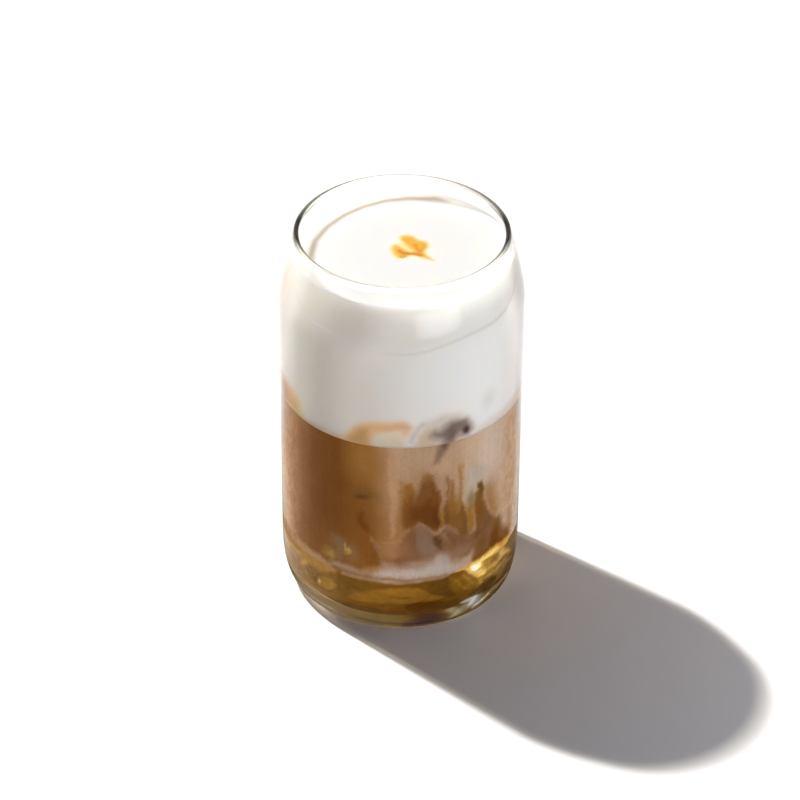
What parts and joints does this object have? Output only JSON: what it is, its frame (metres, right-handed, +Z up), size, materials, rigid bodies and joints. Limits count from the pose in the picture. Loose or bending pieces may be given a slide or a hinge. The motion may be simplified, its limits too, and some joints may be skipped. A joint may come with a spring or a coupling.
{
  "type": "salted caramel latte in a glass",
  "caption": "Clear can-shaped tumbler of layered latte: caramel syrup below, milky coffee, and a deep top of cold cream with a small caramel drop.",
  "frame": {"origin": "centre of the tumbler's foot, on the surface it stands on", "axes": "+Z up along the tumbler's axis; the picture looks along +Y and down, with +X to its right"},
  "size_m": [0.076, 0.076, 0.1286],
  "materials": {
    "glass": "clear polished glass",
    "syrup": "clear amber syrup",
    "latte": "milky coffee, marbled with milk",
    "cream": "smooth cold cream",
    "caramel": "golden caramel sauce"
  },
  "bodies": {
    "root": {"glass": "glass", "syrup_layer": "syrup", "latte_layer": "latte", "cream_layer": "cream"}
  },
  "joints": []
}
